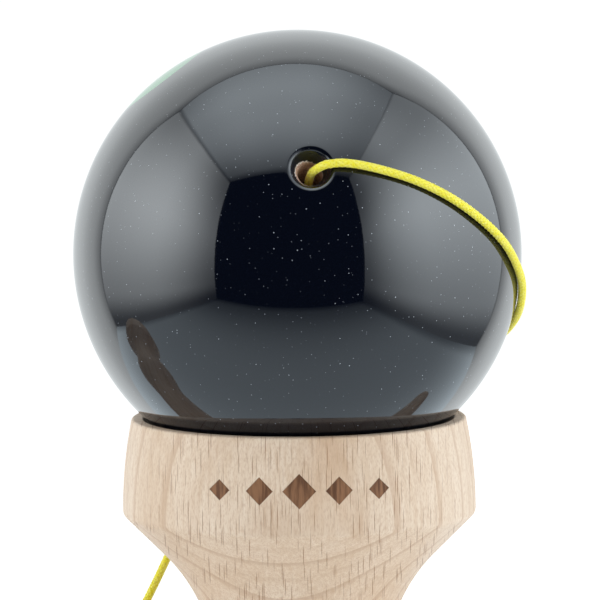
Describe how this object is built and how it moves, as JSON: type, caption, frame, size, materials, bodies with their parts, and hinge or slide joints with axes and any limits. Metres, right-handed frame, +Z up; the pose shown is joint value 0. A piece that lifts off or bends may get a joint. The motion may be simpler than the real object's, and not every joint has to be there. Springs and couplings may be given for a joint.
{
  "type": "kendama",
  "caption": "Wooden ball-and-cup skill toy: a lacquered, drilled ball on a braided string, a turned double cup and a turned handle with a spike and a base cup.",
  "frame": {"origin": "centre of the small cup's rim, on which the toy stands", "axes": "+Z up the double cup's turning axis, +X along the handle towards its spike, +Y to the back"},
  "size_m": [0.163, 0.06, 0.1211],
  "materials": {
    "beech": "satin beech, sanded and oiled",
    "black_lacquer": "beech under glossy black lacquer",
    "bead_wood": "plain turned wood",
    "yellow_braid": "braided nylon"
  },
  "bodies": {
    "sarado": {"sarado": "beech", "string": "yellow_braid"},
    "bead": {"bead": "bead_wood", "bead_knot": "yellow_braid"},
    "tama": {"tama": "black_lacquer"},
    "ken": {"ken": "beech", "ken_knot": "yellow_braid"}
  },
  "joints": [
    {"name": "tama_lift", "type": "slide", "parent": "sarado", "child": "bead", "axis": [0, 0, 1], "range_m": [0, 0.2], "deforming": ["string"]},
    {"name": "tama_spin", "type": "hinge", "parent": "bead", "child": "tama", "pos_m": [0, 0, 0.0911], "axis": [0.0622, -0.8888, 0.454], "continuous": true},
    {"name": "ken_pull", "type": "slide", "parent": "sarado", "child": "ken", "axis": [-1, 0, 0], "range_m": [0, 0.06]}
  ]
}
